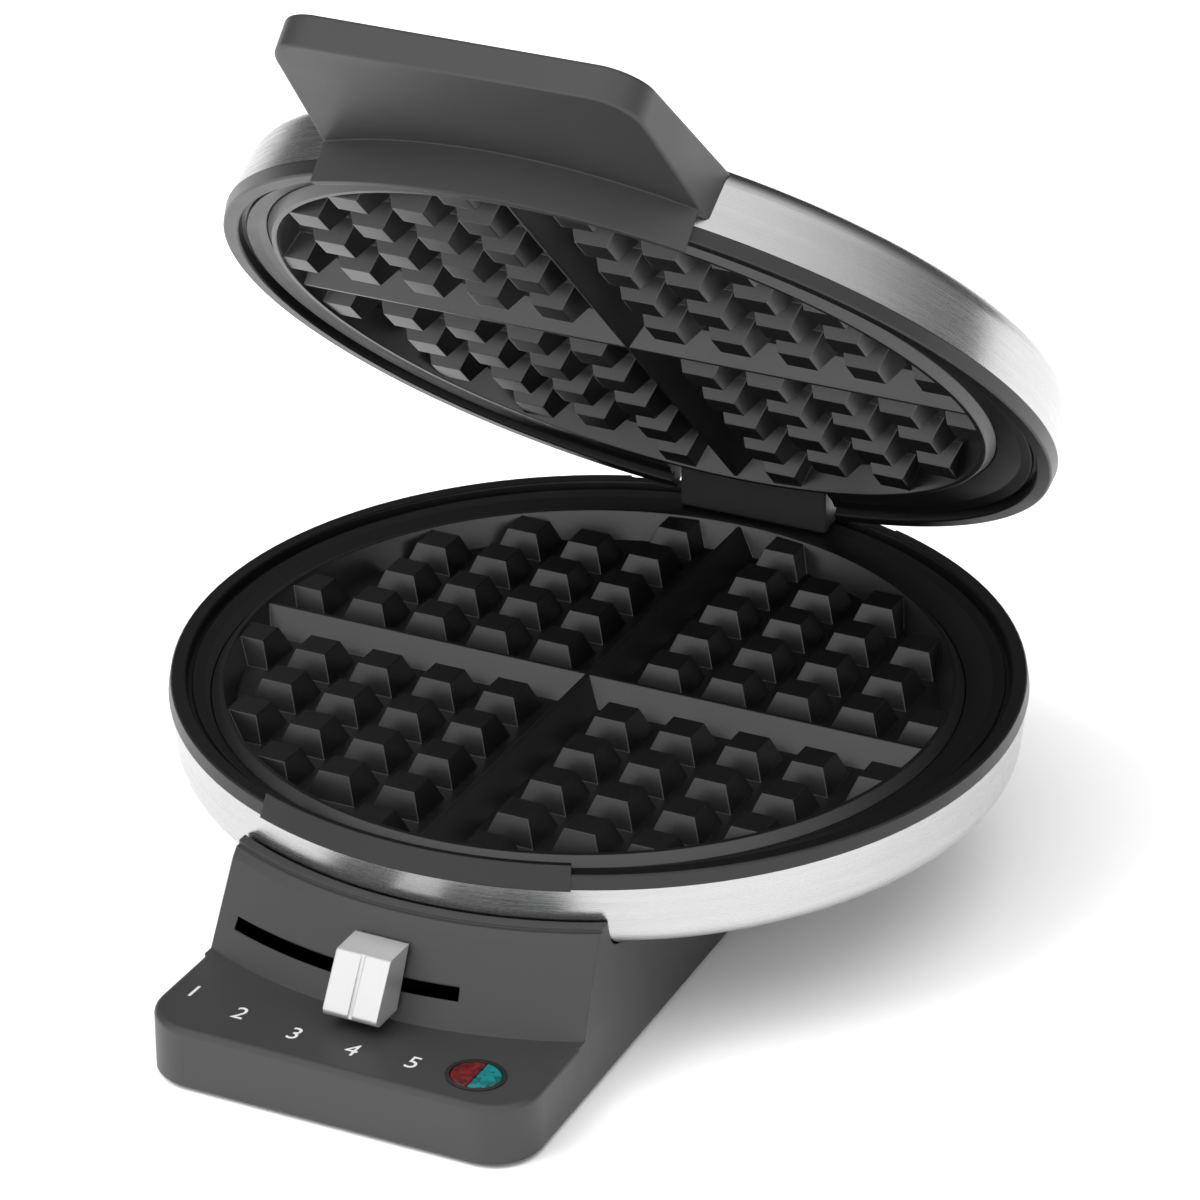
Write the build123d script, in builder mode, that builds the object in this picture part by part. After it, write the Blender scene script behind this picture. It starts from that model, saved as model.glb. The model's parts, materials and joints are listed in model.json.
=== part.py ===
"""Round waffle maker, hinged at the back, resting with its lid open.

Millimetres, +Z up, +X to the right, front towards -Y. The origin is on the
surface that the feet stand on, under the middle of the opened appliance.
Both halves are drawn in a frame of their own: local z = 0 is the level of the
peg tops, local +z points out of the grid, and the lid's frame is the lower one
turned over and swung open about the hinge axis.
"""

import os
from math import asin, atan, cos, degrees, hypot, radians, sin, sqrt

from build123d import *

os.makedirs("parts", exist_ok=True)

# ---- overall layout --------------------------------------------------------
plate_y = 11.83         # axis of the grid plates, behind the origin
ring_back = 5.7         # rims and shells sit this far behind the plates' axis
peg_level = 49.0        # height of the lower peg tops
half_gap = 1.1          # peg tops to the parting plane, lid closed
open_angle = 44.4       # lid opening at rest
hinge_back = 99.3       # hinge axis behind the plates' axis
hinge_rise = 11.5       # hinge axis above the lower peg tops

# ---- grid plates -----------------------------------------------------------
pitch = 16.52
first_peg = 14.29       # ridge centre line to the first peg
pegs_a_side = 5
peg_top = 7.64          # width of a peg's top
peg_base = 12.44        # width of a peg's foot
peg_h = 6.1
ridge_top = 0.9
ridge_base = 9.9
rim_r = 84.84           # inner edge of the bead round the cavity
bead_h = 0.6            # bead above the peg tops
floor_r = 82.1
plate_t = 2.6
flange_r = 87.7
flange_under = -3.6
plate_body_r = 84.0
under_z = -peg_h - plate_t

# ---- rims and shells, radii about the shell axis ----------------------------
lip_r = 100.0
band_r = 100.6
band_z = -2.8
lip_z = 0.6
lip_in = 96.4
groove_in = 95.1
groove_z = -1.9
land_z = -1.7
ring_under = -4.0
plate_hole_r = 87.95
shell_r = 100.5
shell_top = -2.85
corner_r = 98.77        # where the wall and the crown would meet
corner_z = -18.1
lid_corner_r = 98.1     # the same on the lid, whose wall leans more
corner_fillet = 5.2
sheet_t = 0.7
crown_z = -28.4         # top of the lid's dome
pan_z = -22.0           # flat bottom of the lower shell
pan_r = 78.0

# ---- inside each half ------------------------------------------------------
element_r = 50.0
element_tube = 2.6
reflector_r = 77.0
reflector_z = -14.5
reflector_t = 0.4
bar_z = -15.1
bar_t = 1.0
bar_y = 40.0
tie_x = 52.0
boss_ring_r = 92.5      # clamp bars are screwed to the rim on this circle
screw_r = 1.4
screw_hole = 1.5
head_r = 2.7
head_h = 1.5

# ---- base ------------------------------------------------------------------
base_front = -131.6     # from the plates' axis
base_back = 96.0
base_half_front = 47.3
base_half_back = 43.2
front_corner = 11.5
back_corner = 12.0
housing_bottom = 1.4
wall = 2.4
panel_z = 15.8
neck_draft = 3.0
lip_top = 36.8
face_foot_z = 15.0
face_foot_r = 114.3     # control face, a cone about the shell axis
face_lean = 0.4725      # radius lost per millimetre of height
shell_gap = 0.4
cover_z = 1.6
cover_t = 2.2
slot_low = 21.7
slot_high = 24.6
slot_from = -21.6       # degrees from straight ahead, + to the right
slot_to = 9.7
knob_at = -0.5
lens_x = 31.6
lens_y = -120.6
lens_a = 6.86
lens_b = 6.19

# ---- hinge and handle ------------------------------------------------------
block_half = 19.5
block_front = 92.3
block_back = 105.2
pin_r = 1.6
notch_half = 21.9
notch_front = 89.4
skirt_r = 104.0
skirt_t = 1.8
skirt_half = 45.3
handle_front = -133.4
handle_low = 11.7       # above the lower peg tops, lid closed
handle_high = 19.2
tab_half_deg = 22.4

# ---- frames ----------------------------------------------------------------
hinge_origin = Vector(0, plate_y + hinge_back, peg_level + hinge_rise)
swing_c = cos(radians(open_angle))
swing_s = sin(radians(open_angle))


def opened(y, z):
    """A point of the closed lid, y behind the plates' axis and z above the pegs, opened."""
    dy = y - hinge_back
    dz = z - hinge_rise
    turned_y = dy * swing_c + dz * swing_s
    turned_z = dz * swing_c - dy * swing_s
    return hinge_origin + Vector(0, turned_y, turned_z)


lower_frame = Plane(origin=(0, plate_y, peg_level), x_dir=(1, 0, 0), z_dir=(0, 0, 1))
lid_frame = Plane(
    origin=opened(0, 2 * half_gap),
    x_dir=(-1, 0, 0),
    z_dir=(0, -swing_s, -swing_c),
)
# the same place seen the right way up: local z is the height above the lower pegs
lid_upright = Plane(origin=opened(0, 0), x_dir=(1, 0, 0), z_dir=(0, swing_s, swing_c))


def section(frame, back=0.0):
    """Drawing plane through an upright axis: local x is the radius, y the height."""
    return Plane(
        origin=frame.from_local_coords((0, back, 0)),
        x_dir=frame.x_dir,
        z_dir=-frame.y_dir,
    )


def section_at(frame, back, angle):
    """The same, turned so that its radius points angle degrees from the front."""
    a = radians(angle)
    radial = frame.x_dir * sin(a) - frame.y_dir * cos(a)
    return Plane(
        origin=frame.from_local_coords((0, back, 0)),
        x_dir=radial,
        z_dir=radial.cross(frame.z_dir),
    )


def spin_axis(frame, back=0.0):
    return Axis(frame.from_local_coords((0, back, 0)), frame.z_dir)


def face_radius(z):
    return face_foot_r - (z - face_foot_z) * face_lean


def write(part, name):
    part.label = name
    export_step(part, f"parts/{name}.step")


def radial_plane(frame, back, angle, radius, z):
    """Plane at a point of an upright cylinder, facing away from its axis."""
    side = section_at(frame, back, angle)
    return Plane(
        origin=side.from_local_coords((radius, z, 0)),
        x_dir=side.z_dir,
        z_dir=side.x_dir,
    )


def side_plane(frame):
    """Drawing plane with local x running backwards and local y upwards."""
    return Plane(origin=frame.origin, x_dir=frame.y_dir, z_dir=frame.x_dir)


# ---- pieces that both halves share -----------------------------------------
peg_spots = [
    (sx * (first_peg + i * pitch), sy * (first_peg + j * pitch))
    for i in range(pegs_a_side)
    for j in range(pegs_a_side)
    for sx in (-1, 1)
    for sy in (-1, 1)
    if hypot(first_peg + i * pitch, first_peg + j * pitch) < rim_r
]
peg_taper = degrees(atan((peg_base - peg_top) / 2 / peg_h))


def bar_reach(y):
    """Half length between the rim screws of the bar that lies at y."""
    return sqrt(boss_ring_r**2 - (y - ring_back) ** 2)


tie_spots = [(sx * tie_x, sy * bar_y) for sx in (-1, 1) for sy in (-1, 1)]
ring_spots = [(sx * bar_reach(y), y) for sx in (-1, 1) for y in (-bar_y, bar_y)]
bracket_spots = [(-32, 88.5), (32, 88.5)]
block_spots = [(-12, 95.5), (12, 95.5)]
handle_angles = (-17, 17)
handle_screw_z = -12.0


def shell_solid(frame, grow, is_lid):
    """Everything within the outside of a shell, moved outwards by grow."""
    corner = ((lid_corner_r if is_lid else corner_r) + grow, corner_z - grow)
    top = (shell_r + grow, shell_top)
    with BuildPart() as body:
        with BuildSketch(section(frame, ring_back)) as face:
            with BuildLine():
                Line((0, shell_top), top)
                Line(top, corner)
                if is_lid:
                    TangentArc((0, crown_z - grow), corner, tangent=(1, 0))
                    Line((0, shell_top), (0, crown_z - grow))
                else:
                    Polyline(corner, (pan_r, pan_z - grow), (0, pan_z - grow), (0, shell_top))
            make_face()
            fillet(face.vertices().sort_by_distance(corner)[0], corner_fillet + grow)
        revolve(axis=spin_axis(frame, ring_back))
    return body.part


def grid_plate(frame, name):
    """Cast plate: square pegs and a cross ridge in a round cavity with a bead."""
    cavity = [(0, under_z), (floor_r, under_z), (floor_r, -peg_h), (rim_r, bead_h), (0, bead_h)]
    dish = [
        (0, under_z),
        (plate_body_r, under_z),
        (plate_body_r + 0.6, flange_under),
        (flange_r, flange_under),
        (flange_r, land_z),
        (rim_r + 1.1, bead_h),
        (rim_r, bead_h),
        (floor_r, -peg_h),
        (0, -peg_h),
    ]
    ridge = [
        (-ridge_base / 2, -peg_h),
        (ridge_base / 2, -peg_h),
        (ridge_top / 2, 0),
        (-ridge_top / 2, 0),
    ]
    with BuildPart() as plate:
        with BuildSketch(frame.offset(-peg_h)):
            with Locations(*peg_spots):
                Rectangle(peg_base, peg_base)
        extrude(amount=peg_h, taper=peg_taper)
        for along in (section(frame), side_plane(frame)):
            with BuildSketch(along):
                Polygon(*ridge, align=None)
            extrude(amount=rim_r, both=True)
        with BuildSketch(section(frame)):
            Polygon(*cavity, align=None)
        revolve(axis=spin_axis(frame), mode=Mode.INTERSECT)
        with BuildSketch(section(frame)):
            Polygon(*dish, align=None)
        revolve(axis=spin_axis(frame))
        # bosses under the plate for the clamp bars
        with BuildSketch(frame.offset(bar_z)):
            with Locations(*tie_spots):
                Circle(4.5)
        extrude(amount=under_z - bar_z)
        with BuildSketch(frame.offset(bar_z)):
            with Locations(*tie_spots):
                Circle(screw_hole)
        extrude(amount=6.0, mode=Mode.SUBTRACT)
    write(plate.part, name)


def bezel_ring(frame, name, is_lid):
    """Moulded rim: flat lip, narrow groove and a land that runs in to the plate."""
    outline = [
        (band_r, band_z),
        (lip_r, lip_z),
        (lip_in, lip_z),
        (lip_in - 0.2, groove_z),
        (groove_in, groove_z),
        (groove_in - 0.3, land_z + 0.6),
        (groove_in - 3.0, land_z),
        (78.0, land_z),
        (78.0, ring_under),
        (96.8, ring_under),
        (96.8, ring_under - 2.5),
        (99.2, ring_under - 2.5),
        (99.4, band_z),
    ]
    with BuildPart() as ring:
        with BuildSketch(section(frame, ring_back)) as profile:
            Polygon(*outline, align=None)
            chamfer(profile.vertices().group_by(Axis.Y)[-1], 0.35)
        revolve(axis=spin_axis(frame, ring_back))
        if not is_lid:
            # raised front wall that fills the recess behind the handle's skirt
            with BuildSketch(section_at(frame, ring_back, -tab_half_deg)):
                Polygon((101.4, band_z), (99.3, 2.6), (98.0, 2.6), (97.2, band_z), align=None)
            revolve(axis=spin_axis(frame, ring_back), revolution_arc=2 * tab_half_deg)
        # bosses for the clamp bars
        with BuildSketch(frame.offset(bar_z)):
            with Locations(*ring_spots):
                Circle(3.0)
        extrude(amount=ring_under - bar_z + 1.2)
        with BuildSketch(frame.offset(ring_under - 0.05)):
            Circle(plate_hole_r)
        extrude(amount=20, mode=Mode.SUBTRACT)
        with BuildSketch(frame.offset(bar_z)):
            with Locations(*ring_spots):
                Circle(screw_hole)
        extrude(amount=6.0, mode=Mode.SUBTRACT)
        if is_lid:
            # room for the hinge block at the back
            with BuildSketch(frame.offset(-12)):
                with Locations((0, notch_front + 20)):
                    Rectangle(2 * notch_half, 40)
            extrude(amount=20, mode=Mode.SUBTRACT)
            # recess at the front for the lower half's raised wall
            with BuildSketch(section_at(frame, ring_back, -tab_half_deg - 1.2)):
                Polygon((95.6, -1.1), (103, -1.1), (103, 3), (95.6, 3), align=None)
            revolve(
                axis=spin_axis(frame, ring_back),
                revolution_arc=2 * tab_half_deg + 2.4,
                mode=Mode.SUBTRACT,
            )
            with BuildSketch(frame.offset(ring_under)):
                with Locations(*bracket_spots):
                    Circle(screw_hole)
            extrude(amount=1.6, mode=Mode.SUBTRACT)
        else:
            # the lip is lower at the back, where the lid's edge swings past
            with BuildSketch(frame.offset(lip_z - 0.8)):
                with Locations((0, 108)):
                    Rectangle(72, 20)
            extrude(amount=3, mode=Mode.SUBTRACT)
            with BuildSketch(frame.offset(-8)):
                with Locations(*block_spots):
                    Circle(screw_hole + 0.1)
            extrude(amount=12, mode=Mode.SUBTRACT)
    write(ring.part, name)


def heating_element(frame, name):
    """Sheathed element: most of a ring, with both cold ends turned inwards."""
    centre_z = under_z - element_tube - 0.05
    with BuildPart() as element:
        with BuildSketch(section_at(frame, 0, 205)):
            with Locations((element_r, centre_z)):
                Circle(element_tube)
        revolve(axis=spin_axis(frame), revolution_arc=310)
        for angle in (205, 155):
            outward = radial_plane(frame, 0, angle, element_r, centre_z)
            with Locations(outward):
                Sphere(element_tube)
            with BuildSketch(outward):
                Circle(element_tube)
            extrude(amount=-14)
            with BuildSketch(outward.offset(-14)):
                Circle(1.4)
            extrude(amount=-7)
    write(element.part, name)


def reflector(frame, name, is_lid):
    """Bright pan under the element, with its rim turned towards the plate."""
    with BuildPart() as pan:
        with BuildSketch(section(frame)):
            Polygon(
                (0, reflector_z - reflector_t),
                (reflector_r, reflector_z - reflector_t),
                (reflector_r, reflector_z + 2.4),
                (reflector_r - reflector_t, reflector_z + 2.4),
                (reflector_r - reflector_t, reflector_z),
                (0, reflector_z),
                align=None,
            )
        revolve(axis=spin_axis(frame))
        with BuildSketch(frame.offset(reflector_z - 3)):
            with Locations(*tie_spots):
                Circle(4.8)
            if not is_lid:
                # opening for the thermostat
                with Locations((0, ring_back)):
                    RectangleRounded(60, 30, 5)
        extrude(amount=6, mode=Mode.SUBTRACT)
    write(pan.part, name)


def clamp_bars(frame, name):
    """Two flat steel bars that tie the plate to the rim."""
    with BuildPart() as bars:
        with BuildSketch(frame.offset(bar_z - bar_t)):
            for y in (-bar_y, bar_y):
                with Locations((0, y)):
                    SlotCenterToCenter(2 * bar_reach(y), 7.6)
            with Locations(*tie_spots, *ring_spots):
                Circle(screw_hole + 0.1, mode=Mode.SUBTRACT)
        extrude(amount=bar_t)
    write(bars.part, name)


def screws(seats, name, depth):
    """Pan-head screws; each seat is a plane under a head, facing along the shank."""
    with BuildPart() as group:
        for seat in seats:
            with BuildSketch(seat):
                Circle(head_r)
            extrude(amount=-head_h)
            with BuildSketch(seat):
                Circle(screw_r)
            extrude(amount=depth)
            with BuildSketch(seat.offset(-head_h)):
                Rectangle(3.6, 0.7)
                Rectangle(0.7, 3.6)
            extrude(amount=0.7, mode=Mode.SUBTRACT)
    write(group.part, name)


def seats_at(frame, z, spots):
    """Planes parallel to a frame's own, at height z over each of the spots."""
    return [
        Plane(
            origin=frame.from_local_coords((x, y, z)),
            x_dir=frame.x_dir,
            z_dir=frame.z_dir,
        )
        for x, y in spots
    ]


def element_clips(frame, name):
    """Three sheet straps that hold the element up against the plate."""
    low = under_z - 2 * element_tube - 0.1
    sheet = 0.4
    inner = element_tube + 0.3
    outer = inner + sheet
    half = [
        (inner, low),
        (inner, under_z),
        (inner + 5, under_z),
        (inner + 5, under_z - sheet),
        (outer, under_z - sheet),
        (outer, low - sheet),
    ]
    strap = [(element_r + x, z) for x, z in half]
    strap += [(element_r - x, z) for x, z in reversed(half)]
    with BuildPart() as clips:
        for angle in (0, 100, 260):
            with BuildSketch(section_at(frame, 0, angle)):
                Polygon(*strap, align=None)
            extrude(amount=3, both=True)
    write(clips.part, name)


for half_frame, half_name in ((lower_frame, "lower"), (lid_frame, "lid")):
    in_lid = half_frame is lid_frame
    grid_plate(half_frame, f"{half_name}_grid_plate")
    bezel_ring(half_frame, f"{half_name}_bezel_ring", in_lid)
    heating_element(half_frame, f"{half_name}_heating_element")
    element_clips(half_frame, f"{half_name}_element_clips")
    reflector(half_frame, f"{half_name}_reflector", in_lid)
    clamp_bars(half_frame, f"{half_name}_clamp_bars")
    clamp_seats = seats_at(half_frame, bar_z - bar_t, tie_spots + ring_spots)
    screws(clamp_seats, f"{half_name}_clamp_screws", bar_t + 5.0)

# ---- lower shell -----------------------------------------------------------
shell_bolt_spots = [(-32, ring_back - 40), (32, ring_back - 40), (0, ring_back + 60)]

lower_outside = shell_solid(lower_frame, 0, False)
lower_inside = shell_solid(lower_frame, -sheet_t, False)

with BuildPart() as lower_shell:
    add(lower_outside)
    add(lower_inside, mode=Mode.SUBTRACT)
    with BuildSketch(lower_frame.offset(pan_z - 2)):
        with Locations((0, ring_back)):
            Circle(4.2)
        with Locations(*shell_bolt_spots):
            Circle(2.1)
    extrude(amount=4, mode=Mode.SUBTRACT)
write(lower_shell.part, "lower_shell")

# ---- base housing ----------------------------------------------------------
ground = Plane(origin=(0, plate_y, 0), x_dir=(1, 0, 0), z_dir=(0, 0, 1))
roof_z = peg_level + pan_z - shell_gap
step_r = 102.4
lip_chamfer_z = lip_top - 1.9
cover_spots = [(-36, -108), (36, -108), (-34, 80), (34, 80)]
gland_x = 24.0
gland_z = 12.0


def base_plan(plan, inset):
    """Plan of the base, drawn in from its outer edge by inset."""
    front_half = base_half_front - inset
    back_half = base_half_back - inset
    Polygon(
        (-front_half, base_front + inset),
        (front_half, base_front + inset),
        (back_half, base_back - inset),
        (-back_half, base_back - inset),
        align=None,
    )
    fillet(plan.vertices().group_by(Axis.Y)[0], front_corner - inset)
    fillet(plan.vertices().group_by(Axis.Y)[-1], back_corner - inset)


def neck_body(inset):
    """Upper part of the base: leaning sides behind a conical control face."""
    lean = inset * sqrt(1 + face_lean**2)
    with BuildPart() as body:
        with BuildSketch(ground.offset(panel_z - inset)) as plan:
            base_plan(plan, inset)
        extrude(amount=lip_top + 4 - panel_z, taper=neck_draft)
        with BuildSketch(section(ground, ring_back)):
            Polygon(
                (0, panel_z - 4),
                (face_radius(panel_z - 4) - lean, panel_z - 4),
                (face_radius(lip_chamfer_z) - lean, lip_chamfer_z),
                (face_radius(lip_chamfer_z) - 1.5 - inset, lip_top),
                (step_r - inset, lip_top),
                (step_r - inset, lip_top + 1 - inset),
                (0, lip_top + 1 - inset),
                align=None,
            )
        revolve(axis=spin_axis(ground, ring_back), mode=Mode.INTERSECT)
    return body.part


round_from = -101.0      # the foot's top edges are rounded in front of this line
neck = neck_body(0)
neck_hollow = neck_body(wall)
bowl = shell_solid(lower_frame, shell_gap, False)
bowl_wall = shell_solid(lower_frame, shell_gap + wall, False)

with BuildPart() as hollow:
    with BuildSketch(ground.offset(housing_bottom - 1)) as plan:
        base_plan(plan, wall)
    extrude(amount=panel_z - wall - housing_bottom + 1)
    add(neck_hollow)
    add(bowl_wall, mode=Mode.SUBTRACT)
    with BuildSketch(ground.offset(cover_z + cover_t)):
        with Locations(*cover_spots):
            Circle(4.0)
    extrude(amount=30, mode=Mode.SUBTRACT)

with BuildPart() as front_foot:
    with BuildSketch(ground.offset(housing_bottom)) as plan:
        base_plan(plan, 0)
    extrude(amount=panel_z - housing_bottom)
    fillet(front_foot.faces().sort_by(Axis.Z)[-1].edges(), 1.5)
    with BuildSketch(ground):
        with Locations((0, round_from - 50)):
            Rectangle(200, 100)
    extrude(amount=60, mode=Mode.INTERSECT)

with BuildPart() as base_housing:
    with BuildSketch(ground.offset(housing_bottom)) as plan:
        base_plan(plan, 0)
        with Locations((0, round_from + 150)):
            Rectangle(200, 300, mode=Mode.INTERSECT)
    extrude(amount=panel_z - housing_bottom)
    add(front_foot.part)
    add(neck)
    add(hollow.part, mode=Mode.SUBTRACT)
    add(bowl, mode=Mode.SUBTRACT)
    # slot for the temperature lever
    with BuildSketch(section_at(ground, ring_back, slot_from)):
        Polygon((100, slot_low), (125, slot_low), (125, slot_high), (100, slot_high), align=None)
    revolve(
        axis=spin_axis(ground, ring_back),
        revolution_arc=slot_to - slot_from,
        mode=Mode.SUBTRACT,
    )
    # lever shaft and shell bolts through the roof
    with BuildSketch(ground.offset(roof_z - wall - 1)):
        with Locations((0, ring_back)):
            Circle(4.2)
        with Locations(*shell_bolt_spots):
            Circle(2.1)
    extrude(amount=wall + 2, mode=Mode.SUBTRACT)
    # indicator window
    with BuildSketch(ground.offset(panel_z - wall - 1)):
        with Locations((lens_x, lens_y)):
            Ellipse(lens_a - 0.4, lens_b - 0.4)
    extrude(amount=wall + 2, mode=Mode.SUBTRACT)
    # cord inlet in the back wall
    with BuildSketch(Plane(origin=(gland_x, plate_y + base_back, gland_z), z_dir=(0, 1, 0))):
        Circle(5.1)
    extrude(amount=10, both=True, mode=Mode.SUBTRACT)
    # blind holes for the cover screws
    with BuildSketch(ground.offset(cover_z + cover_t)):
        with Locations(*cover_spots):
            Circle(screw_hole)
    extrude(amount=8.5, mode=Mode.SUBTRACT)
write(base_housing.part, "base_housing")

with BuildPart() as base_bottom_cover:
    with BuildSketch(ground.offset(cover_z)) as plan:
        base_plan(plan, wall + 0.3)
        with Locations(*cover_spots):
            Circle(screw_hole + 0.2, mode=Mode.SUBTRACT)
        # vents
        for row in range(5):
            with Locations((0, row * 8 - 16)):
                SlotOverall(34, 2.6, mode=Mode.SUBTRACT)
    extrude(amount=cover_t)
    with BuildSketch(ground.offset(cover_z)):
        with Locations(*cover_spots):
            Circle(head_r + 0.4)
    extrude(amount=1.5, mode=Mode.SUBTRACT)
write(base_bottom_cover.part, "base_bottom_cover")

cover_seats = seats_at(ground, cover_z + 1.5, cover_spots)
screws(cover_seats, "base_cover_screws", cover_t - 1.5 + 8.0)

with BuildPart() as rubber_feet:
    with BuildSketch(ground):
        with Locations((-33, -120), (33, -120), (-31, 66), (31, 66)):
            Circle(6.2)
    extrude(amount=cover_z)
    chamfer(rubber_feet.edges().group_by(Axis.Z)[0], 0.4)
write(rubber_feet.part, "rubber_feet")

# ---- indicator -------------------------------------------------------------
with BuildPart() as indicator_bezel:
    with BuildSketch(ground.offset(panel_z)):
        with Locations((lens_x, lens_y)):
            Ellipse(lens_a, lens_b)
    extrude(amount=0.3)
    with BuildSketch(ground.offset(panel_z - 4.2)):
        with Locations((lens_x, lens_y)):
            Ellipse(lens_a - 0.45, lens_b - 0.45)
    extrude(amount=4.2)
    with BuildSketch(ground.offset(panel_z - 5)):
        with Locations((lens_x, lens_y)):
            Ellipse(lens_a - 0.9, lens_b - 0.9)
    extrude(amount=6, mode=Mode.SUBTRACT)
write(indicator_bezel.part, "indicator_bezel")


def indicator_lens(side, name):
    """One half of the oval window, red on the left and green on the right."""
    with BuildPart() as lens:
        with BuildSketch(ground.offset(panel_z - 1.8)):
            with Locations((lens_x, lens_y)):
                Ellipse(lens_a - 0.95, lens_b - 0.95)
            with Locations((lens_x + side * 5.1, lens_y)):
                Rectangle(10, 20, mode=Mode.INTERSECT)
        extrude(amount=2.0)
        chamfer(lens.edges().group_by(Axis.Z)[-1], 0.25)
    write(lens.part, name)


indicator_lens(-1, "indicator_lens_red")
indicator_lens(1, "indicator_lens_green")

with BuildPart() as indicator_board:
    with BuildSketch(ground.offset(6.5)):
        with Locations((lens_x - 1, lens_y)):
            RectangleRounded(20, 13, 1)
    extrude(amount=1.2)
write(indicator_board.part, "indicator_board")

with BuildPart() as indicator_lamps:
    with BuildSketch(ground.offset(7.7)):
        with Locations((lens_x - 2.7, lens_y), (lens_x + 2.7, lens_y)):
            Circle(2.0)
    extrude(amount=4.6)
    fillet(indicator_lamps.edges().group_by(Axis.Z)[-1], 1.2)
write(indicator_lamps.part, "indicator_lamps")

# ---- shell fixings ---------------------------------------------------------
shell_seats = [
    Plane(origin=lower_frame.from_local_coords((x, y, pan_z + sheet_t)), z_dir=(0, 0, -1))
    for x, y in shell_bolt_spots
]
with BuildPart() as shell_bolts:
    for seat in shell_seats:
        with BuildSketch(seat):
            Circle(3.6)
        extrude(amount=-1.8)
        with BuildSketch(seat):
            Circle(1.95)
        extrude(amount=sheet_t + shell_gap + wall + 3.4)
write(shell_bolts.part, "shell_bolts")

with BuildPart() as shell_nuts:
    with BuildSketch(ground.offset(roof_z - wall - 2.6)):
        with Locations(*shell_bolt_spots):
            RegularPolygon(3.9, 6)
            Circle(2.0, mode=Mode.SUBTRACT)
    extrude(amount=2.6)
write(shell_nuts.part, "shell_nuts")

# ---- thermostat, fuse and wiring parts -------------------------------------
stat_top = under_z - 1.0
stat_low = stat_top - 8.6
shaft_r = 3.0

with BuildPart() as thermostat_bracket:
    with BuildSketch(lower_frame.offset(stat_top)):
        with Locations((0, ring_back)):
            RectangleRounded(52, 14, 3)
    extrude(amount=1.0)
write(thermostat_bracket.part, "thermostat_bracket")

with BuildPart() as thermostat_body:
    with BuildSketch(lower_frame.offset(stat_low)):
        with Locations((0, ring_back)):
            RectangleRounded(34, 20, 2.5)
    extrude(amount=stat_top - stat_low)
    with BuildSketch(lower_frame.offset(stat_low + 2.5)):
        with Locations((0, ring_back)):
            Rectangle(44, 6.3)
    extrude(amount=0.8)
    with BuildSketch(lower_frame.offset(stat_low)):
        with Locations((0, ring_back)):
            Circle(shaft_r + 0.06)
    extrude(amount=6, mode=Mode.SUBTRACT)
write(thermostat_body.part, "thermostat_body")

with BuildPart() as thermal_fuse:
    with BuildSketch(Plane(origin=lower_frame.from_local_coords((-7, -16, under_z - 2.1)), z_dir=(1, 0, 0))):
        Circle(2.0)
    extrude(amount=14)
    with BuildSketch(Plane(origin=lower_frame.from_local_coords((-17, -16, under_z - 2.1)), z_dir=(1, 0, 0))):
        Circle(0.5)
    extrude(amount=34)
write(thermal_fuse.part, "thermal_fuse")

with BuildPart() as terminal_block:
    with BuildSketch(ground.offset(cover_z + cover_t)):
        with Locations((0, 66)):
            RectangleRounded(34, 16, 2)
    extrude(amount=9)
    with BuildSketch(ground.offset(cover_z + cover_t + 9)):
        with Locations((-10.5, 66), (0, 66), (10.5, 66)):
            Circle(2.2)
    extrude(amount=-4, mode=Mode.SUBTRACT)
    with BuildSketch(Plane(origin=(0, plate_y + 66, cover_z + cover_t + 4.5), z_dir=(0, 1, 0))):
        with Locations((-10.5, 0), (0, 0), (10.5, 0)):
            Circle(1.4)
    extrude(amount=12, both=True, mode=Mode.SUBTRACT)
write(terminal_block.part, "terminal_block")

with BuildPart() as cord_inlet_gland:
    with BuildSketch(Plane(origin=(gland_x, plate_y + base_back, gland_z), z_dir=(0, 1, 0))):
        Circle(7.0)
    extrude(amount=2.2)
    fillet(cord_inlet_gland.edges().group_by(Axis.Y)[-1], 0.9)
    with BuildSketch(Plane(origin=(gland_x, plate_y + base_back, gland_z), z_dir=(0, 1, 0))):
        Circle(5.0)
    extrude(amount=-wall - 0.6)
    with BuildSketch(Plane(origin=(gland_x, plate_y + base_back - wall - 0.6, gland_z), z_dir=(0, 1, 0))):
        Circle(6.2)
    extrude(amount=-2.4)
    with BuildSketch(Plane(origin=(gland_x, plate_y + base_back, gland_z), z_dir=(0, 1, 0))):
        Circle(3.1)
    extrude(amount=12, both=True, mode=Mode.SUBTRACT)
write(cord_inlet_gland.part, "cord_inlet_gland")

# ---- temperature lever -----------------------------------------------------
arm_z = 22.5
arm_t = 1.2
shaft_low = 21.6
shaft_top = peg_level + stat_low + 4.5
knob_half = 6.7
knob_plane = section_at(ground, ring_back, knob_at)

with BuildPart() as thermostat_shaft:
    with BuildSketch(ground.offset(shaft_low)):
        with Locations((0, ring_back)):
            Circle(shaft_r)
    extrude(amount=shaft_top - shaft_low)
write(thermostat_shaft.part, "thermostat_shaft")

with BuildPart() as temperature_lever_arm:
    with BuildSketch(knob_plane):
        Polygon(
            (-7, arm_z),
            (118, arm_z),
            (118, arm_z + arm_t),
            (-7, arm_z + arm_t),
            align=None,
        )
    extrude(amount=4, both=True)
    with BuildSketch(ground.offset(arm_z)):
        with Locations((0, ring_back)):
            Circle(7)
    extrude(amount=arm_t)
    with BuildSketch(ground.offset(arm_z)):
        with Locations((0, ring_back)):
            Circle(shaft_r + 0.05)
    extrude(amount=arm_t, mode=Mode.SUBTRACT)
write(temperature_lever_arm.part, "temperature_lever_arm")

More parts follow.
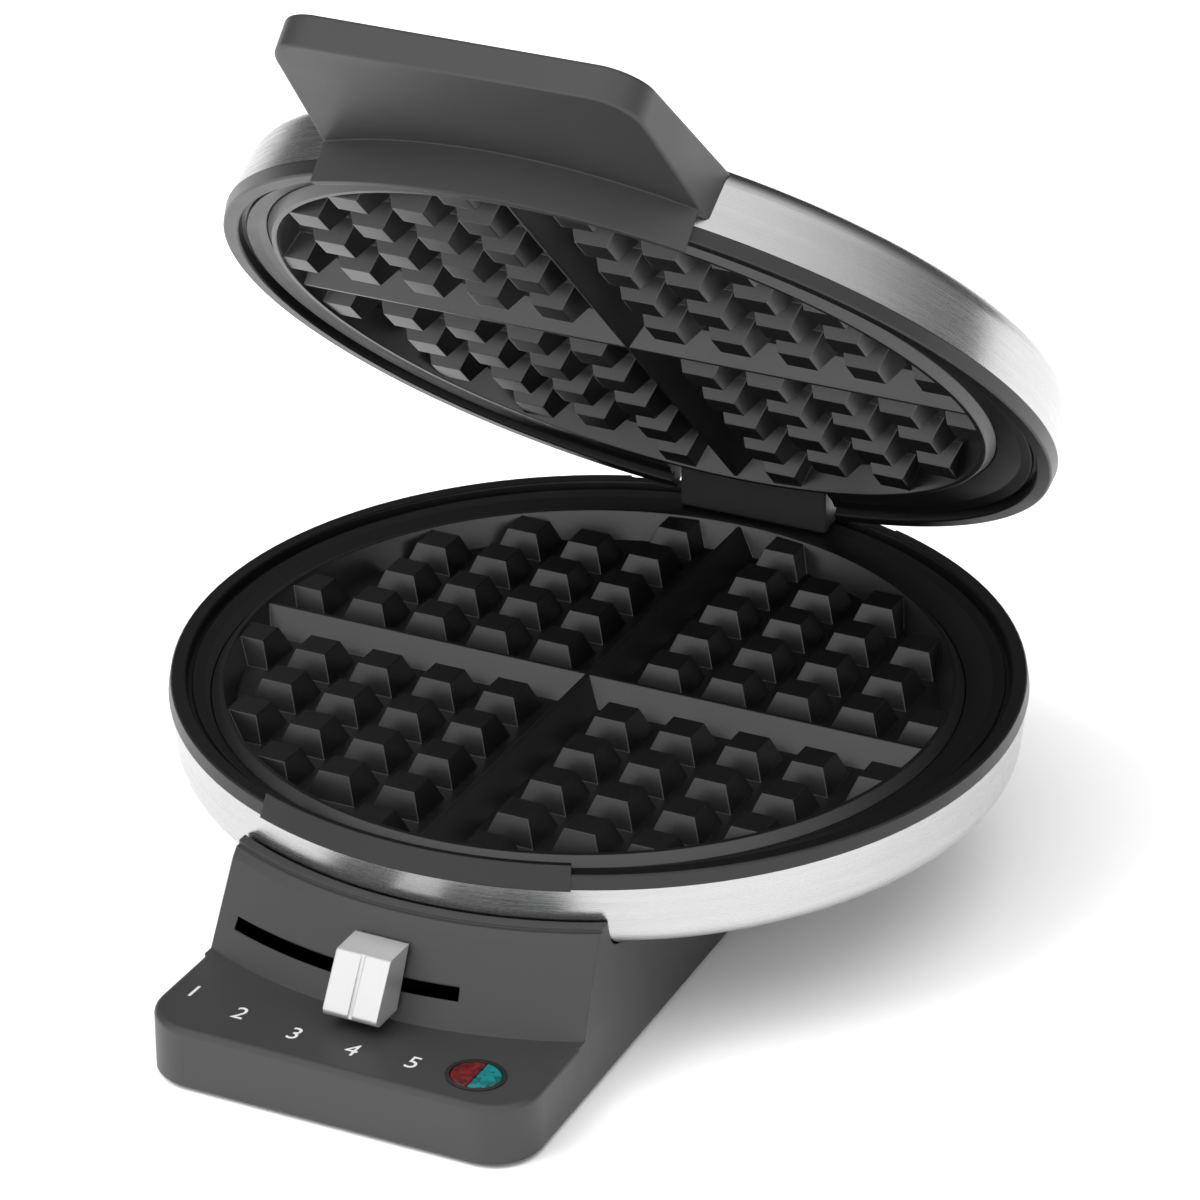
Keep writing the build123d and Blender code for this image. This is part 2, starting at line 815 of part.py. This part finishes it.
with BuildPart() as slider_knob:
    with BuildSketch(knob_plane) as profile:
        Polygon(
            (107.3, 32.1),
            (115.9, 32.1),
            (124.2, 18.6),
            (113.6, 18.6),
            align=None,
        )
        fillet(profile.vertices().group_by(Axis.X)[-1], 1.6)
        fillet(profile.vertices().sort_by_distance((115.9, 32.1))[0], 1.2)
    extrude(amount=knob_half, both=True)
    # finger groove down the middle of the face
    with BuildSketch(knob_plane):
        Polygon(
            (115.1, 33),
            (118, 33),
            (128, 17),
            (122.2, 17),
            (123.9, 17.6),
            align=None,
        )
    extrude(amount=0.5, both=True, mode=Mode.SUBTRACT)
    # socket for the arm
    with BuildSketch(knob_plane):
        Polygon(
            (100, arm_z - 0.1),
            (118.2, arm_z - 0.1),
            (118.2, arm_z + arm_t + 0.1),
            (100, arm_z + arm_t + 0.1),
            align=None,
        )
    extrude(amount=4.1, both=True, mode=Mode.SUBTRACT)
write(slider_knob.part, "slider_knob")

# ---- hinge -----------------------------------------------------------------
across = side_plane(lower_frame)
block_low = land_z + 0.1
block_over_lip = lip_z - 0.8 + 0.1

with BuildPart() as hinge_block:
    with BuildSketch(across):
        Polygon(
            (block_front, -0.9),
            (block_front + 0.7, block_low),
            (95.4, block_low),
            (95.4, -0.95),
            (99.7, -0.95),
            (99.7, block_over_lip),
            (block_back, block_over_lip),
            (block_back, hinge_rise),
            (block_front, hinge_rise),
            align=None,
        )
        with Locations((hinge_back, hinge_rise)):
            Circle(hinge_back - block_front)
        with Locations((block_back + 5, hinge_rise)):
            Rectangle(10, 30, mode=Mode.SUBTRACT)
    extrude(amount=block_half, both=True)
    chamfer(hinge_block.faces().filter_by(Axis.X).edges(), 0.5)
    with BuildSketch(across):
        with Locations((hinge_back, hinge_rise)):
            Circle(pin_r + 0.03)
    extrude(amount=block_half, both=True, mode=Mode.SUBTRACT)
    with BuildSketch(lower_frame.offset(block_low - 1)):
        with Locations(*block_spots):
            Circle(screw_hole)
    extrude(amount=8, mode=Mode.SUBTRACT)
write(hinge_block.part, "hinge_block")

with BuildPart() as hinge_base_plate:
    with BuildSketch(lower_frame.offset(ring_under - 1.2)):
        with Locations((0, 95)):
            RectangleRounded(40, 8.4, 1.5)
        with Locations(*block_spots):
            Circle(screw_hole + 0.1, mode=Mode.SUBTRACT)
    extrude(amount=1.2)
write(hinge_base_plate.part, "hinge_base_plate")

block_seats = seats_at(lower_frame, ring_under - 1.2, block_spots)
screws(block_seats, "hinge_block_screws", 9.0)

with BuildPart() as hinge_pins:
    for side in (-1, 1):
        with BuildSketch(across.offset(side * 10)):
            with Locations((hinge_back, hinge_rise)):
                Circle(pin_r)
        extrude(amount=side * 14.2)
write(hinge_pins.part, "hinge_pins")

# ---- lid: hinge brackets ---------------------------------------------------
lid_across = side_plane(lid_upright)
foot_z = 2 * half_gap - ring_under
ear_in = notch_half + 0.4
ear_t = 1.4

with BuildPart() as lid_hinge_brackets:
    for side in (-1, 1):
        with BuildSketch(lid_across.offset(side * ear_in)):
            Polygon(
                (86.5, foot_z),
                (95.2, foot_z),
                (96.4, hinge_rise - 2.5),
                (103.6, hinge_rise - 2.5),
                (103.6, hinge_rise + 4.4),
                (96, hinge_rise + 4.4),
                (86.5, foot_z + 3),
                align=None,
            )
        extrude(amount=side * ear_t)
    with BuildSketch(lid_upright.offset(foot_z)):
        for side in (-1, 1):
            with Locations((side * (ear_in + 7), 89.8)):
                Rectangle(14, 6.6)
        with Locations(*bracket_spots):
            Circle(screw_hole + 0.1, mode=Mode.SUBTRACT)
    extrude(amount=1.2)
    with BuildSketch(lid_upright.offset(-5)):
        with Locations((0, ring_back)):
            Circle(97.7)
    extrude(amount=40, mode=Mode.INTERSECT)
    with BuildSketch(lid_across):
        with Locations((hinge_back, hinge_rise)):
            Circle(pin_r + 0.06)
    extrude(amount=40, both=True, mode=Mode.SUBTRACT)
write(lid_hinge_brackets.part, "lid_hinge_brackets")

bracket_seats = seats_at(lid_frame, ring_under - 1.2, bracket_spots)
screws(bracket_seats, "lid_hinge_screws", 2.6)

# ---- lid: shell and handle -------------------------------------------------
lid_outside = shell_solid(lid_frame, 0, True)
lid_inside = shell_solid(lid_frame, -sheet_t, True)
lid_clearance = shell_solid(lid_frame, 0.15, True)

with BuildPart() as lid_shell:
    add(lid_outside)
    add(lid_inside, mode=Mode.SUBTRACT)
    with BuildSketch(lid_frame.offset(-16.7)):
        with Locations((0, 100)):
            Rectangle(2 * notch_half, 20)
    extrude(amount=20, mode=Mode.SUBTRACT)
    for angle in handle_angles:
        with BuildSketch(radial_plane(lid_frame, ring_back, angle, 90, handle_screw_z)):
            Circle(1.7)
        extrude(amount=20, mode=Mode.SUBTRACT)
write(lid_shell.part, "lid_shell")

skirt_deg = degrees(asin(skirt_half / skirt_r))
skirt_low = -2.2
handle_back = -78.0
handle_back_low = 7.3
handle_back_high = 19.8

with BuildPart() as lid_handle:
    with BuildSketch(lid_upright) as plan:
        Polygon(
            (-42.9, handle_front),
            (42.9, handle_front),
            (46.5, handle_back),
            (-46.5, handle_back),
            align=None,
        )
        fillet(plan.vertices().group_by(Axis.Y)[0], 10.5)
    extrude(amount=handle_back_high)
    # underside and top both rise gently along the handle
    with BuildSketch(lid_across):
        Polygon(
            (handle_front - 5, handle_low + 0.25),
            (-84, handle_back_low),
            (handle_back, handle_back_low),
            (handle_back, handle_back_high + 1),
            (-84, handle_back_high),
            (handle_front - 5, handle_high),
            align=None,
        )
    extrude(amount=60, both=True, mode=Mode.INTERSECT)
    fillet(lid_handle.faces().sort_by(Axis(lid_upright.origin, -lid_upright.y_dir))[-1].edges(), 0.9)
    with BuildSketch(section_at(lid_upright, ring_back, -skirt_deg)):
        Polygon(
            (skirt_r - skirt_t, skirt_low),
            (skirt_r, skirt_low),
            (skirt_r, 10.3),
            (skirt_r - skirt_t, 10.3),
            align=None,
        )
    revolve(axis=spin_axis(lid_upright, ring_back), revolution_arc=2 * skirt_deg)
    add(lid_clearance, mode=Mode.SUBTRACT)
    for angle in handle_angles:
        with BuildSketch(radial_plane(lid_frame, ring_back, angle, 90, handle_screw_z)):
            Circle(screw_hole)
        extrude(amount=21, mode=Mode.SUBTRACT)
write(lid_handle.part, "lid_handle")

handle_seats = [
    radial_plane(lid_frame, ring_back, angle, 97.6, handle_screw_z) for angle in handle_angles
]
screws(handle_seats, "lid_handle_screws", 11.0)
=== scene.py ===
import json
import math

import bpy
from mathutils import Matrix, Vector

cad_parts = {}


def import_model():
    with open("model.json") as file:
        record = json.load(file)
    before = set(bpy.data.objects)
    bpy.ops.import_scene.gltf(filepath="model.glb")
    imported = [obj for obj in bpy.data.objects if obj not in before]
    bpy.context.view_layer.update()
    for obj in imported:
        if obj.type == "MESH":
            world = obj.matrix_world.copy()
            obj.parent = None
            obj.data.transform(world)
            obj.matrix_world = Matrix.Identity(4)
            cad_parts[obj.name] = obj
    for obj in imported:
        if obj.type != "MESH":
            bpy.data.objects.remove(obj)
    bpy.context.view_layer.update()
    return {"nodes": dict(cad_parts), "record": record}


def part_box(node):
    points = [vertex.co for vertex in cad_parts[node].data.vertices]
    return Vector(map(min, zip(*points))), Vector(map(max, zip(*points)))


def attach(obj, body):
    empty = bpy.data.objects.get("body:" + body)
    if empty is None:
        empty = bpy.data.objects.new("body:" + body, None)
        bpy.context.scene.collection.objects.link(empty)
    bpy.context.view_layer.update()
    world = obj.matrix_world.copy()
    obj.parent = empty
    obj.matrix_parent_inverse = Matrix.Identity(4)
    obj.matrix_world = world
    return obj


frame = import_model()

# layout shared with the CAD model, in metres
PLATE_Y = 0.01183
RING_BACK = 0.0057
RING_Y = PLATE_Y + RING_BACK
PEG_Z = 0.049
HINGE_BACK = 0.0993
HINGE_RISE = 0.0115
HINGE = Vector((0, PLATE_Y + HINGE_BACK, PEG_Z + HINGE_RISE))
OPEN = math.radians(44.4)

# control face: a cone about the ring axis, with the lever slot cut in it; the slot numbers
# bound the painted shade on the slot's walls
FACE_FOOT_R = 0.1143
FACE_FOOT_Z = 0.015
FACE_LEAN = 0.4725
SLOT_HEIGHTS = (0.0216, 0.0247)
SLOT_ANGLES = (-0.381, 0.173)
SLOT_RADII = (0.1, 0.13)
SLOT_SKIN = 0.0002

# printed dial numbers, on an arc about the ring axis
NUMERAL_ARC_R = 0.1288
NUMERAL_DEGREES = (-18.5, -12.1, -5.4, 1.1, 7.5)
NUMERAL_SIZE = 0.0066
BEZEL_PROUD = 0.0003
PRINT_LIFT = 0.00005


# ---- materials ---------------------------------------------------------------
class Nodes:
    """A small builder for node materials."""

    def __init__(self, name):
        self.mat = bpy.data.materials.new(name)
        self.mat.use_nodes = True
        self.tree = self.mat.node_tree
        self.bsdf = self.tree.nodes["Principled BSDF"]

    def add(self, kind, inputs=None, **settings):
        node = self.tree.nodes.new(kind)
        for key, value in settings.items():
            setattr(node, key, value)
        for key, value in (inputs or {}).items():
            self.set(node.inputs[key], value)
        return node

    def set(self, socket, value):
        if isinstance(value, bpy.types.NodeSocket):
            self.tree.links.new(value, socket)
        else:
            socket.default_value = value

    def shader(self, **values):
        for key, value in values.items():
            self.set(self.bsdf.inputs[key.replace("_", " ")], value)

    def coords(self, turned=False):
        """Object coordinates about the shell axis, peg tops at zero height."""
        base = self.add("ShaderNodeTexCoord").outputs["Object"]
        if not turned:
            return self.vector("SUBTRACT", base, (0, RING_Y, PEG_Z))
        moved = self.vector("SUBTRACT", base, tuple(HINGE))
        turn = self.add(
            "ShaderNodeVectorRotate", {"Vector": moved, "Angle": OPEN}, rotation_type="X_AXIS"
        )
        return self.vector("ADD", turn.outputs[0], (0, HINGE_BACK - RING_BACK, HINGE_RISE))

    def vector(self, operation, a, b):
        return self.add("ShaderNodeVectorMath", {0: a, 1: b}, operation=operation).outputs[0]

    def math(self, operation, a, b=0.0):
        return self.add("ShaderNodeMath", {0: a, 1: b}, operation=operation).outputs[0]

    def distance(self, x, y):
        """Length of the vector (x, y)."""
        squares = self.math("ADD", self.math("MULTIPLY", x, x), self.math("MULTIPLY", y, y))
        return self.math("SQRT", squares)

    def noise(self, vector, scale, detail=3.0, rough=0.55, stretch=None):
        if stretch:
            vector = self.vector("MULTIPLY", vector, stretch)
        node = self.add(
            "ShaderNodeTexNoise",
            {"Vector": vector, "Scale": scale, "Detail": detail, "Roughness": rough},
        )
        return node.outputs["Fac"]

    def remap(self, value, low, high, new_low, new_high):
        ends = {"From Min": low, "From Max": high, "To Min": new_low, "To Max": new_high}
        return self.add("ShaderNodeMapRange", {"Value": value, **ends}).outputs[0]

    def ramp(self, value, stops):
        node = self.add("ShaderNodeValToRGB", {"Fac": value})
        band = node.color_ramp
        while len(band.elements) < len(stops):
            band.elements.new(0.5)
        for element, (place, colour) in zip(band.elements, stops):
            element.position = place
            element.color = (*colour, 1.0)
        return node.outputs["Color"]

    def mix(self, factor, a, b):
        node = self.add("ShaderNodeMix", {"Factor": factor}, data_type="RGBA")
        self.set(node.inputs["A"], a if isinstance(a, bpy.types.NodeSocket) else (*a, 1.0))
        self.set(node.inputs["B"], b if isinstance(b, bpy.types.NodeSocket) else (*b, 1.0))
        return node.outputs["Result"]

    def bump(self, height, distance, strength=1.0):
        shape = {"Height": height, "Distance": distance, "Strength": strength}
        return self.add("ShaderNodeBump", shape).outputs["Normal"]

    def edged(self, normal, radius):
        """Soften every hard edge to a small rounded corner."""
        node = self.add("ShaderNodeBevel", {"Radius": radius, "Normal": normal}, samples=6)
        return node.outputs["Normal"]


def slot_walls(n, at):
    """Mask of painted shade: 1 on the walls within the lever slot, which are painted black as
    shade, 0 on the control face and elsewhere.
    """
    x, y, z = n.add("ShaderNodeSeparateXYZ", {"Vector": at}).outputs
    radius = n.distance(x, y)
    height = n.math("ADD", z, PEG_Z)
    rise = n.math("SUBTRACT", height, FACE_FOOT_Z)
    face = n.math("SUBTRACT", FACE_FOOT_R, n.math("MULTIPLY", rise, FACE_LEAN))
    angle = n.math("ARCTAN2", x, n.math("MULTIPLY", y, -1.0))
    inside = n.math("GREATER_THAN", n.math("SUBTRACT", face, radius), SLOT_SKIN)
    for value, (low, high) in (
        (height, SLOT_HEIGHTS),
        (angle, SLOT_ANGLES),
        (radius, SLOT_RADII),
    ):
        inside = n.math("MULTIPLY", inside, n.math("GREATER_THAN", value, low))
        inside = n.math("MULTIPLY", inside, n.math("LESS_THAN", value, high))
    return inside


def moulded(name, colour, rough, spec=0.5, edge=0.0004, metallic=0.0, paint_slot_shade=False):
    """Moulded plastic: faint colour mottling, uneven sheen and a fine grain; on the housing,
    the lever slot's walls can be painted black as painted shade.
    """
    n = Nodes(name)
    at = n.coords()
    cloud = n.noise(at, 18.0, 4.0)
    fine = n.noise(at, 2600.0, 2.0)
    dark = tuple(c * 0.93 for c in colour)
    lit = tuple(min(1.0, c * 1.07) for c in colour)
    tone = n.mix(cloud, dark, lit)
    # painted shade: the walls inside the lever slot are painted black and fully metallic, so
    # the slot reads as a dark shaded recess
    if paint_slot_shade:
        metallic = slot_walls(n, at)
        tone = n.mix(metallic, tone, (0.0, 0.0, 0.0))
    n.shader(
        Base_Color=tone,
        Roughness=n.remap(n.noise(at, 60.0, 5.0), 0.3, 0.7, rough - 0.03, rough + 0.03),
        Normal=n.edged(n.bump(fine, 0.000012), edge),
        Metallic=metallic,
        Specular_IOR_Level=spec,
    )
    return n.mat


def coated(name):
    """Non-stick coating over cast aluminium: near black with a fine speckle."""
    n = Nodes(name)
    at = n.coords()
    fleck = n.noise(at, 900.0, 2.0, 0.6)
    patch = n.noise(at, 35.0, 4.0)
    greys = ((0.0, 0.004), (0.62, 0.006), (0.9, 0.012))
    tone = n.ramp(fleck, [(place, (grey, grey, grey)) for place, grey in greys])
    n.shader(
        Base_Color=tone,
        Roughness=n.remap(patch, 0.3, 0.7, 0.30, 0.38),
        Normal=n.edged(n.bump(fleck, 0.00002), 0.0004),
        Specular_IOR_Level=0.8,
    )
    return n.mat


def brushed(name, turned):
    """Stainless sheet brushed round the shell's axis."""
    n = Nodes(name)
    at = n.coords(turned)
    x, y, z = n.add("ShaderNodeSeparateXYZ", {"Vector": at}).outputs
    along = n.math("MULTIPLY", n.math("ARCTAN2", x, y), 1.2)
    radius = n.distance(x, y)
    line = n.add("ShaderNodeCombineXYZ", {"X": along, "Y": radius, "Z": z}).outputs[0]
    hair = n.noise(line, 1.0, 4.0, 0.65, (3.0, 5200.0, 5200.0))
    broad = n.noise(line, 1.0, 3.0, 0.5, (2.0, 420.0, 420.0))
    n.shader(
        Base_Color=n.mix(broad, (0.46, 0.46, 0.463), (0.55, 0.55, 0.55)),
        Metallic=1.0,
        Roughness=n.remap(hair, 0.3, 0.7, 0.20, 0.34),
        Normal=n.bump(hair, 0.00001),
        Anisotropic=0.6,
    )
    tangent = n.add("ShaderNodeTangent", direction_type="RADIAL", axis="Z")
    n.set(n.bsdf.inputs["Tangent"], tangent.outputs[0])
    return n.mat


def plain_metal(name, colour, rough):
    """Plated or sheathed metal of the inner parts."""
    n = Nodes(name)
    at = n.coords()
    n.shader(
        Base_Color=n.mix(n.noise(at, 90.0), tuple(c * 0.9 for c in colour), colour),
        Metallic=1.0,
        Roughness=n.remap(n.noise(at, 300.0, 4.0), 0.3, 0.7, rough - 0.05, rough + 0.08),
        Normal=n.bump(n.noise(at, 1500.0), 0.00001),
    )
    return n.mat


def clear_plastic(name, colour):
    """Tinted lens with a moulded prism pattern beneath."""
    n = Nodes(name)
    at = n.coords()
    cells = n.add("ShaderNodeTexVoronoi", {"Vector": at, "Scale": 700.0}).outputs["Color"]
    facet = n.add("ShaderNodeSeparateColor", {"Color": cells}).outputs[0]
    dark = tuple(c * 0.25 for c in colour)
    lit = tuple(c * 1.4 for c in colour)
    n.shader(
        Specular_IOR_Level=0.4,
        Base_Color=n.mix(facet, dark, lit),
        Roughness=0.16,
        Normal=n.bump(n.noise(at, 1200.0, 2.0), 0.00002),
        Coat_Weight=0.6,
    )
    return n.mat


MATERIALS = {
    # housing plastic, with painted shade (black) on the walls inside the lever slot
    "housing_plastic": moulded(
        "satin_grey_slot_shade", (0.027, 0.027, 0.027), 0.42, edge=0.0006, paint_slot_shade=True
    ),
    "cover_plastic": moulded("matt_black", (0.014, 0.014, 0.014), 0.55),
    "rim_plastic": moulded("rim_black", (0.005, 0.005, 0.005), 0.36),
    "foot_rubber": moulded("soft_rubber", (0.02, 0.02, 0.02), 0.7),
    "bezel_plastic": moulded("dark_bezel", (0.010, 0.010, 0.010), 0.22, edge=0.0002),
    "knob_plastic": moulded("silver_knob", (0.60, 0.60, 0.60), 0.34, edge=0.0005, metallic=0.7),
    "ceramic": moulded("glazed_ceramic", (0.75, 0.73, 0.68), 0.3),
    "circuit_board": moulded("board_green", (0.03, 0.14, 0.06), 0.45),
    "lamp_glass": moulded("lamp_glass", (0.8, 0.76, 0.7), 0.1),
    "lens_red": clear_plastic("lens_red", (0.09, 0.003, 0.004)),
    "lens_green": clear_plastic("lens_green", (0.001, 0.11, 0.115)),
    "grid_aluminium": coated("non_stick"),
    "screw_steel": plain_metal("screw_steel", (0.6, 0.6, 0.61), 0.25),
    "pin_steel": plain_metal("pin_steel", (0.02, 0.02, 0.02), 0.35),
    "bracket_steel": plain_metal("bracket_steel", (0.015, 0.015, 0.015), 0.4),
    "zinc_steel": plain_metal("zinc_steel", (0.55, 0.55, 0.56), 0.35),
    "element_sheath": plain_metal("element_sheath", (0.28, 0.26, 0.25), 0.45),
    "reflector_aluminium": plain_metal("reflector_aluminium", (0.8, 0.8, 0.81), 0.2),
    "fuse_brass": plain_metal("fuse_brass", (0.7, 0.55, 0.25), 0.3),
}
STEEL = {
    "lower_shell": brushed("brushed_lower", False),
    "lid_shell": brushed("brushed_lid", True),
}


def dress(obj, material):
    obj.data.materials.clear()
    obj.data.materials.append(material)


for part in frame["record"]["subparts"]:
    node = frame["nodes"][part["node"]]
    dress(node, STEEL.get(part["node"]) or MATERIALS[part["material_slot"]])


# ---- printed numerals ---------------------------------------------------------
def numerals():
    """Dial numbers 1 to 5, printed on the foot along an arc about the ring axis."""
    paint = moulded("white_print", (0.50, 0.50, 0.50), 0.5, edge=0.00005)
    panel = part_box("indicator_bezel")[1][2] - BEZEL_PROUD
    for number, degrees in enumerate(NUMERAL_DEGREES, 1):
        text = bpy.data.curves.new(f"numeral_{number}", "FONT")
        text.body = str(number)
        text.size = NUMERAL_SIZE
        text.shear = 0.04
        text.extrude = 0.00004
        text.align_x = "CENTER"
        text.align_y = "CENTER"
        angle = math.radians(degrees)
        shaped = bpy.data.objects.new(f"numeral_{number}_outline", text)
        bpy.context.scene.collection.objects.link(shaped)
        bpy.context.view_layer.update()
        graph = bpy.context.evaluated_depsgraph_get()
        mesh = bpy.data.meshes.new_from_object(shaped.evaluated_get(graph))
        bpy.data.objects.remove(shaped)
        bpy.data.curves.remove(text)
        mark = bpy.data.objects.new(f"numeral_{number}", mesh)
        bpy.context.scene.collection.objects.link(mark)
        mark.location = (
            NUMERAL_ARC_R * math.sin(angle),
            RING_Y - NUMERAL_ARC_R * math.cos(angle),
            panel + PRINT_LIFT,
        )
        dress(mark, paint)
        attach(mark, "base")


numerals()


# ---- floor, light and camera -------------------------------------------------
def floor():
    mesh = bpy.data.meshes.new("floor")
    corners = [(-6, -6, 0), (6, -6, 0), (6, 6, 0), (-6, 6, 0)]
    mesh.from_pydata(corners, [], [(0, 1, 2, 3)])
    obj = bpy.data.objects.new("floor", mesh)
    bpy.context.scene.collection.objects.link(obj)
    n = Nodes("floor_white")
    n.shader(Base_Color=(0.9, 0.9, 0.9, 1.0), Roughness=0.9, Specular_IOR_Level=0.0)
    dress(obj, n.mat)


def sun(name, azimuth, elevation, spread, power):
    """Broad soft light that leaves no hot spot in glossy faces."""
    data = bpy.data.lights.new(name, "SUN")
    data.angle = math.radians(spread)
    data.energy = power
    obj = bpy.data.objects.new(name, data)
    bpy.context.scene.collection.objects.link(obj)
    az, el = math.radians(azimuth), math.radians(elevation)
    level = math.cos(el)
    toward = Vector((level * math.cos(az), level * math.sin(az), math.sin(el)))
    obj.rotation_euler = toward.to_track_quat("Z", "Y").to_euler()
    obj.visible_glossy = False


def world():
    """Studio surroundings: bright in front and above, dark behind the object."""
    w = bpy.data.worlds.new("studio")
    bpy.context.scene.world = w
    w.use_nodes = True
    tree = w.node_tree
    back = tree.nodes["Background"]
    place = tree.nodes.new("ShaderNodeTexCoord")
    toward = tree.nodes.new("ShaderNodeVectorMath")
    toward.operation = "DOT_PRODUCT"
    toward.inputs[1].default_value = Vector((0.25, -0.82, 0.5)).normalized()
    spread = tree.nodes.new("ShaderNodeMapRange")
    spread.inputs["From Min"].default_value = -1.0
    band = tree.nodes.new("ShaderNodeValToRGB")
    tree.links.new(place.outputs["Generated"], toward.inputs[0])
    tree.links.new(toward.outputs["Value"], spread.inputs["Value"])
    tree.links.new(spread.outputs[0], band.inputs["Fac"])
    tree.links.new(band.outputs["Color"], back.inputs["Color"])
    ramp = band.color_ramp
    ramp.interpolation = "EASE"
    stops = [(0.30, 0.05), (0.50, 0.20), (0.66, 0.60), (0.85, 1.0)]
    while len(ramp.elements) < len(stops):
        ramp.elements.new(0.5)
    for element, (at, value) in zip(ramp.elements, stops):
        element.position = at
        element.color = (value, value, value, 1.0)
    back.inputs["Strength"].default_value = 1.35
    # what is seen past the floor is plain white, like the floor
    plain = tree.nodes.new("ShaderNodeBackground")
    path = tree.nodes.new("ShaderNodeLightPath")
    pick = tree.nodes.new("ShaderNodeMixShader")
    plain.inputs["Color"].default_value = (1.0, 1.0, 1.0, 1.0)
    tree.links.new(path.outputs["Is Camera Ray"], pick.inputs[0])
    tree.links.new(back.outputs[0], pick.inputs[1])
    tree.links.new(plain.outputs[0], pick.inputs[2])
    tree.links.new(pick.outputs[0], tree.nodes["World Output"].inputs["Surface"])


def camera():
    data = bpy.data.cameras.new("camera")
    data.lens = 163.05
    data.sensor_width = 36.0
    obj = bpy.data.objects.new("camera", data)
    bpy.context.scene.collection.objects.link(obj)
    place = Vector((0.4933, -0.99237, 0.6436))
    target = Vector((-0.01383, 0.04669, 0.049))
    look = (target - place).to_track_quat("-Z", "Y").to_matrix().to_4x4()
    obj.matrix_world = Matrix.Translation(place) @ look @ Matrix.Rotation(-0.006, 4, "Z")
    bpy.context.scene.camera = obj


bpy.context.scene.view_settings.view_transform = "Standard"
floor()
world()
sun("key", 218, 50, 40, 1.7)
sun("top", 170, 80, 100, 1.9)
camera()
